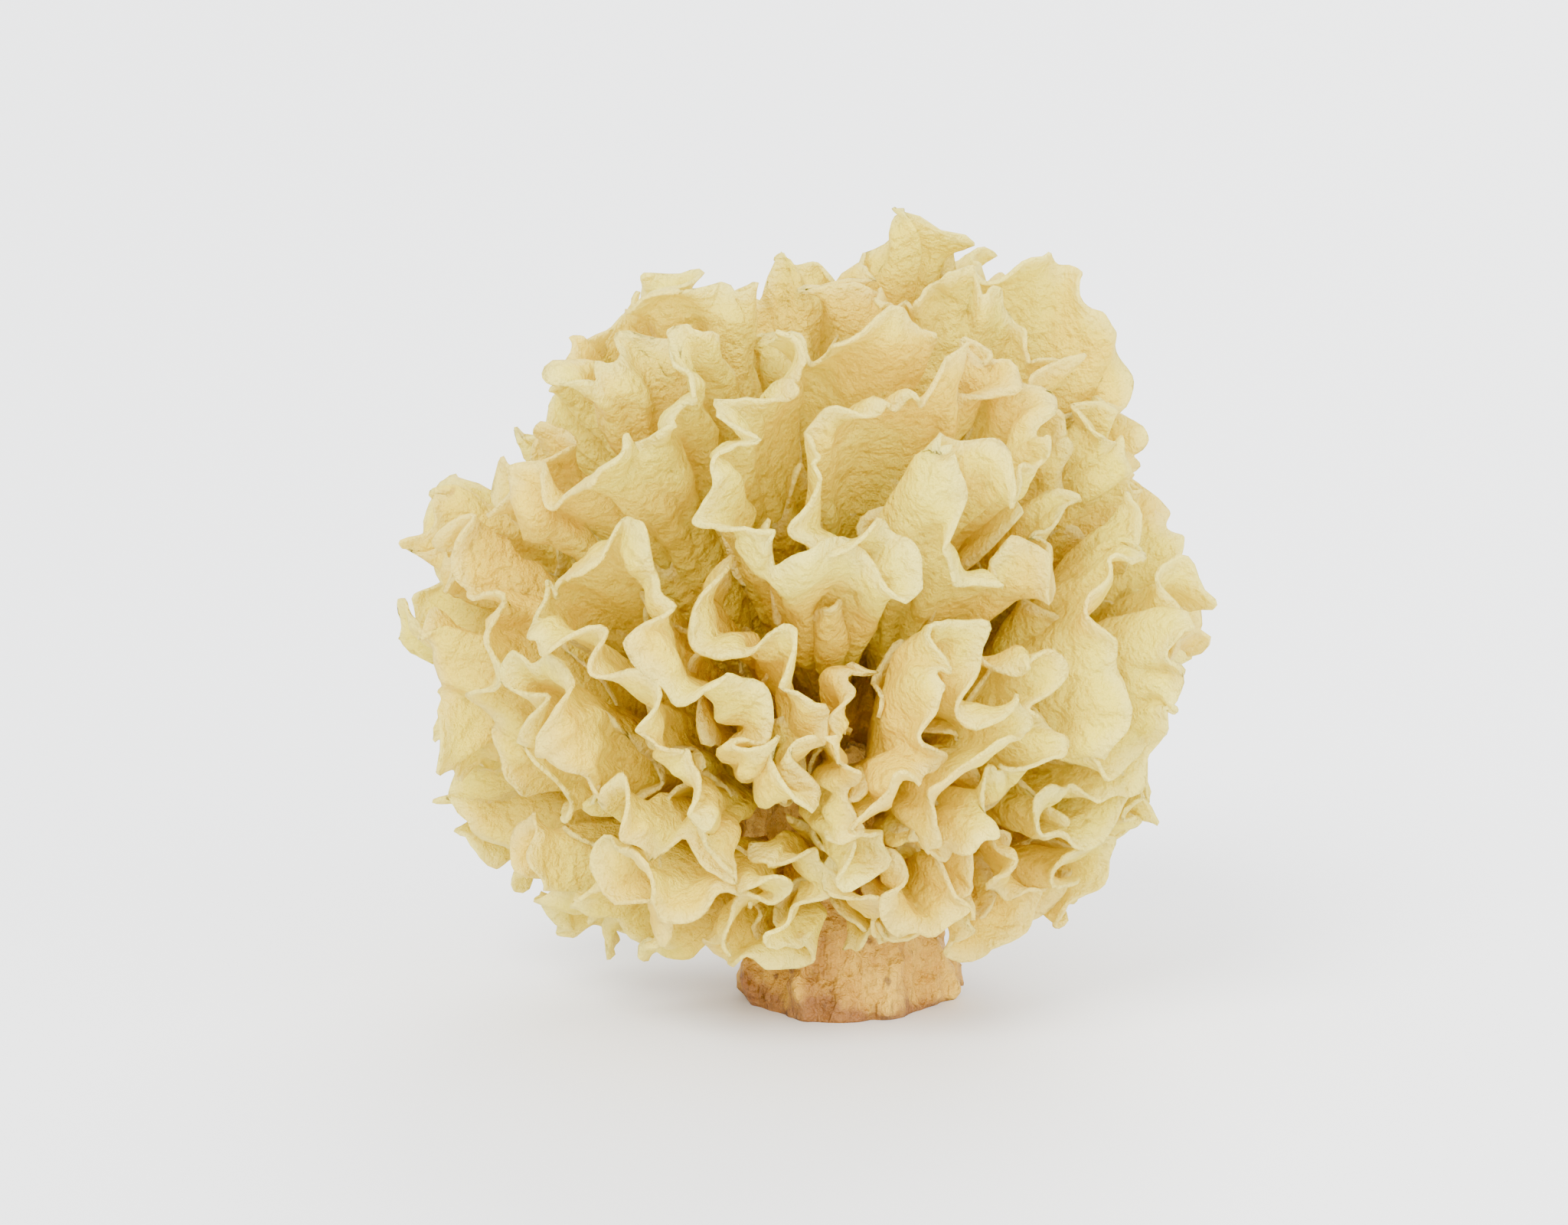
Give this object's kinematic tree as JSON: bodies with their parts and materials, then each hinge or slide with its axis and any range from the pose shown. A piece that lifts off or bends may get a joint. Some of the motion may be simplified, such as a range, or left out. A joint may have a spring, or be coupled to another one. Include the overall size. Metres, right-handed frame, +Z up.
{
  "type": "snow fungus",
  "caption": "Dried head of snow fungus: long ruffled fronds, folded close together, spread from a stub of a foot with a flat cut.",
  "frame": {"origin": "middle of the foot's flat cut, on the ground", "axes": "+Z up out of the cut, -Y towards the side that the picture shows, +X towards the side that the tallest lobe leans to"},
  "size_m": [0.0808, 0.0714, 0.0779],
  "materials": {
    "frond": "satin, cream yellow at the rims and amber in the folds",
    "foot": "dull tan skin, brown at the edge of the cut"
  },
  "bodies": {
    "root": {"foot": "foot", "frond_01": "frond", "frond_02": "frond", "frond_03": "frond", "frond_04": "frond", "frond_05": "frond", "frond_06": "frond", "frond_07": "frond", "frond_08": "frond", "frond_09": "frond", "frond_10": "frond", "frond_11": "frond", "frond_12": "frond", "frond_13": "frond", "frond_14": "frond", "frond_15": "frond", "frond_16": "frond", "frond_17": "frond"}
  },
  "joints": []
}
